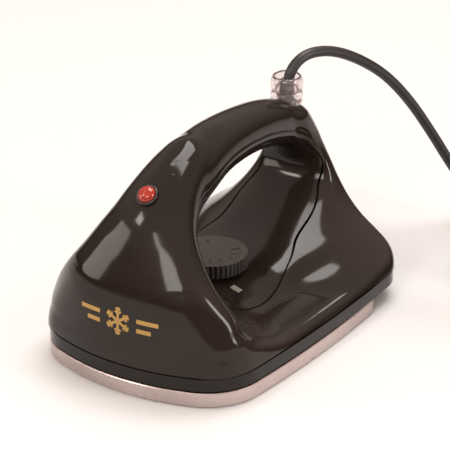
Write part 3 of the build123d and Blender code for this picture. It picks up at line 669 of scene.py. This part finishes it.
CELL = 1.3
GROOVE = 0.16                  # half the width of the rim's seam
SEAM_GAP = 0.3                 # between the housing's lower edge and the skirt ring
SHELL_WALL, LINER_WALL = 2.4, 2.0
net_verts, net_quads = surface_nets(CELL)
net_verts, net_faces = cut(net_verts, [tuple(q) for q in net_quads.tolist()],
                           SEAM_Z + SEAM_GAP - net_verts[:, 2], True)
rim_value = rim_field(net_verts[:, 1], net_verts[:, 2])
shell_verts, shell_faces = cut(net_verts, net_faces, rim_value - GROOVE, False)
liner_verts, liner_faces = cut(net_verts, net_faces, rim_value + GROOVE, True)
shell = thick_piece("housing_shell", shell_verts, shell_faces, SHELL_WALL, SHELL)
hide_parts("upper_housing")
liner = thick_piece("opening_liner", liner_verts, liner_faces, LINER_WALL, LINER)
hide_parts("handle_liner")

# ---------------------------------------------------------------- small parts on the housing
def surface_between(outside, inside, field):
    """Where a field of one coordinate array changes sign, found by halving."""
    for _ in range(40):
        middle = (outside + inside) / 2
        out = field(middle) > 0
        outside, inside = np.where(out, middle, outside), np.where(out, inside, middle)
    return (outside + inside) / 2


def front_surface(x, z):
    """The y of the nose's face at (x, z)."""
    return surface_between(np.full(x.shape, -90.0), np.full(x.shape, -50.0), lambda y: body_field(x, y, z))


def sill_surface(x, y):
    """The height of the sill at (x, y)."""
    return surface_between(np.full(x.shape, 50.0), np.full(x.shape, 16.0), lambda z: body_field(x, y, z))


PRINT_LIFT = 0.10              # how far the gold print stands off the moulding


def ribbon(start, end, width, count=10):
    """A straight strip of quads in the plane, as (points, faces)."""
    a, b = np.array(start, float), np.array(end, float)
    side = np.array([-(b - a)[1], (b - a)[0]]) / np.linalg.norm(b - a) * width / 2
    points, faces = [], []
    for step in range(count + 1):
        middle = a + (b - a) * step / count
        points += [middle - side, middle + side]
    for step in range(count):
        n = 2 * step
        faces.append((n, n + 2, n + 3, n + 1))
    return points, faces


def snow_mark(at, size):
    """A plain snow crystal between two pairs of bars, as flat strips."""
    points, faces = [], []
    strips = []
    for arm in range(6):
        angle = math.radians(60 * arm + 30)
        axis = np.array([math.cos(angle), math.sin(angle)])
        strips.append((axis * 0.2, axis * size, 1.3))
        for share, barb in ((0.55, 0.30), (0.80, 0.22)):
            for turn in (-1, 1):
                lean = angle + turn * math.radians(58)
                tip = axis * size * share + np.array([math.cos(lean), math.sin(lean)]) * size * barb
                strips.append((axis * size * share, tip, 1.0))
    for side in (-1, 1):
        strips.append((np.array([side * 9.5, 2.2]), np.array([side * 20.0, 2.2]), 2.0))
        strips.append((np.array([side * 9.5, -2.2]), np.array([side * 16.5, -2.2]), 2.0))
    for start, end, width in strips:
        p, f = ribbon(start, end, width)
        faces += [tuple(n + len(points) for n in face) for face in f]
        points += [q + np.array(at) for q in p]
    flat = np.array(points)
    y = front_surface(flat[:, 0], flat[:, 1]) - PRINT_LIFT
    return np.column_stack([flat[:, 0], y, flat[:, 1]]), faces


verts, faces = snow_mark((0.0, 34.7), 6.4)
add_object("nose_emblem", mesh_from("nose_emblem", verts, faces, False), GOLD)

MARK_AT = (18.5, -12.4)
MARK_SIZE = (4.6, 3.4)
MARK_CELLS = 6
MARK_LIFT = 0.15
row = MARK_CELLS + 1
grid = [(MARK_AT[0] + MARK_SIZE[0] * (i / MARK_CELLS - 0.5), MARK_AT[1] + MARK_SIZE[1] * (j / MARK_CELLS - 0.5))
        for j in range(row) for i in range(row)]
mark_x, mark_y = np.array(grid).T
verts = np.column_stack([mark_x, mark_y, sill_surface(mark_x, mark_y) + MARK_LIFT])
faces = [(j * row + i, j * row + i + 1, (j + 1) * row + i + 1, (j + 1) * row + i)
         for j in range(MARK_CELLS) for i in range(MARK_CELLS)]
index_mark = add_object("index_mark", mesh_from("index_mark", verts, faces, False), PALE_MARK)
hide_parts("dial_index_mark")

DIAL_Y, DIAL_TOP = -3.4, 37.6
DIAL_TURN, DIAL_TICKS = 270, 11
TICK_START, TICK_LIFT = 8.6, 0.04
verts, faces = [], []
for step in range(DIAL_TICKS):
    angle = math.radians(-DIAL_TURN / 2 + DIAL_TURN / (DIAL_TICKS - 1) * step - 90)
    axis = np.array([math.cos(angle), math.sin(angle)])
    tick_end, tick_width = (12.0, 0.7) if step % 5 else (12.4, 1.3)
    points, quads = ribbon(axis * TICK_START, axis * tick_end, tick_width, 3)
    faces += [tuple(n + len(verts) for n in face) for face in quads]
    verts += [(p[0], p[1] + DIAL_Y, DIAL_TOP + TICK_LIFT) for p in points]
add_object("dial_marks", mesh_from("dial_marks", verts, faces, False), DARK_MARK, body=DIAL)

LAMP_AT = Vector((0, -54.0, 85.0))
LAMP_OUT = Vector((0, -0.62, 0.785)).normalized()


def tilted(mesh, origin, direction):
    """Turns a mesh made about +Z at the world origin to stand along direction at origin."""
    turn = direction.to_track_quat("Z", "Y").to_matrix().to_4x4()
    turn.translation = origin * MM
    mesh.transform(turn)
    mesh.update()
    return mesh


lens_profile = [(0.01, -1.5), (3.9, -1.5), (4.0, 0.6), (3.85, 1.3), (3.3, 2.1), (2.4, 2.6), (1.2, 2.9), (0.01, 3.0)]
lens = add_object("pilot_lens", tilted(revolve("pilot_lens", lens_profile, (0, 0, 0), 48), LAMP_AT, LAMP_OUT),
                  LENS)
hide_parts("lamp_lens")
bezel_profile = [(4.05, -6.5), (4.6, -6.5), (4.6, -0.3), (4.95, -0.3), (5.0, 0.1), (4.85, 0.5), (4.5, 0.75),
                 (4.2, 0.7), (4.05, 0.4)]
bezel = add_object("pilot_bezel", tilted(revolve("pilot_bezel", bezel_profile, (0, 0, 0), 48), LAMP_AT, LAMP_OUT),
                   BEZEL)
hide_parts("lamp_bezel")

# ribbed sleeve: solid round the clamp, then a tapering tube that the lead bends out of
RIBS, RIB_PITCH = 7, 1.9
sleeve_profile = [(2.62, 89.0), (2.62, 99.5), (3.05, 99.5), (3.2, 99.2)]
for rib in range(RIBS):
    top = 98.4 - rib * RIB_PITCH
    swell = 3.3 + rib * 0.13
    sleeve_profile += [(swell, top), (swell, top - 0.9), (swell - 0.55, top - 1.15), (swell - 0.5, top - 1.65)]
sleeve_profile += [(4.3, 84.6), (4.3, 78.0), (5.2, 78.0), (5.2, 75.5), (0.01, 75.5), (0.01, 89.0)]
sleeve = add_object("ribbed_sleeve", revolve("ribbed_sleeve", sleeve_profile[::-1], GUARD_AXIS, 48), SLEEVE)
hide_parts("strain_relief")

collar_profile = [(4.6, 86.0), (5.8, 86.0), (6.6, 88.0), (7.2, 89.0), (7.5, 90.2), (7.5, 92.6), (7.2, 93.8),
                  (6.4, 94.5), (5.2, 94.5), (4.9, 93.0)]
cap_profile = [(5.2, 94.55), (6.4, 94.55), (7.2, 95.4), (7.5, 96.6), (7.5, 98.8), (7.2, 100.2), (6.6, 101.4),
               (6.1, 101.9), (5.7, 101.7), (6.0, 100.6), (6.1, 96.4)]
collar = add_object("clear_collar", revolve("clear_collar", collar_profile, GUARD_AXIS, 64), GUARD)
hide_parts("guard_collar")
cap = add_object("clear_cap", revolve("clear_cap", cap_profile, GUARD_AXIS, 64), GUARD)
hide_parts("guard_cap")

# ---------------------------------------------------------------- floor and light
floor_mesh = bpy.data.meshes.new("floor")
FLOOR = 4                      # metres from the middle to an edge
floor_mesh.from_pydata([(-FLOOR, -FLOOR, 0), (FLOOR, -FLOOR, 0), (FLOOR, FLOOR, 0), (-FLOOR, FLOOR, 0)], [],
                       [(0, 1, 2, 3)])
floor = bpy.data.objects.new("floor", floor_mesh)
scene.collection.objects.link(floor)
floor_mesh.materials.append(material("floor_white", (0.58, 0.58, 0.58), 0.9)[0])

world = bpy.data.worlds.new("studio")
scene.world = world
world.use_nodes = True
sky, sky_links = world.node_tree.nodes, world.node_tree.links
coord = sky.new("ShaderNodeTexCoord")
split = sky.new("ShaderNodeSeparateXYZ")
ramp = sky.new("ShaderNodeValToRGB")
ramp.color_ramp.elements[0].position = 0.08
ramp.color_ramp.elements[0].color = (0.10, 0.08, 0.07, 1)
ramp.color_ramp.elements[1].position = 0.55
ramp.color_ramp.elements[1].color = (1.0, 0.84, 0.76, 1)
sky_links.new(coord.outputs["Generated"], split.inputs["Vector"])
sky_links.new(split.outputs["Z"], ramp.inputs["Fac"])
sky_links.new(ramp.outputs["Color"], sky["Background"].inputs["Color"])
sky["Background"].inputs["Strength"].default_value = 0.85


def area_light(name, place, target, size, energy, colour=(1, 1, 1)):
    """A soft rectangular light aimed at a point."""
    data = bpy.data.lights.new(name, "AREA")
    data.shape = "RECTANGLE"
    data.size, data.size_y = size
    data.energy = energy
    data.color = colour
    lamp = bpy.data.objects.new(name, data)
    scene.collection.objects.link(lamp)
    lamp.location = place
    lamp.rotation_mode = "QUATERNION"
    lamp.rotation_quaternion = (Vector(target) - Vector(place)).to_track_quat("-Z", "Y")


area_light("key", (-0.85, -0.70, 0.36), (0, 0, 0.05), (0.50, 0.42), 3.3, (1.0, 0.91, 0.83))
area_light("spot", (-0.55, -0.75, 0.85), (0, 0, 0.05), (0.20, 0.18), 1.7, (1.0, 0.93, 0.86))
area_light("top", (0.0, 0.35, 1.35), (0, 0, 0), (0.9, 0.7), 17.0, (1.0, 0.96, 0.92))
area_light("front", (0.35, -1.3, 0.9), (0, 0, 0), (0.8, 0.5), 11.0, (1.0, 0.95, 0.90))
area_light("side", (1.2, 0.15, 0.42), (0, 0, 0.04), (0.30, 0.55), 7.0, (1.0, 0.95, 0.92))
scene.view_settings.view_transform = "Standard"
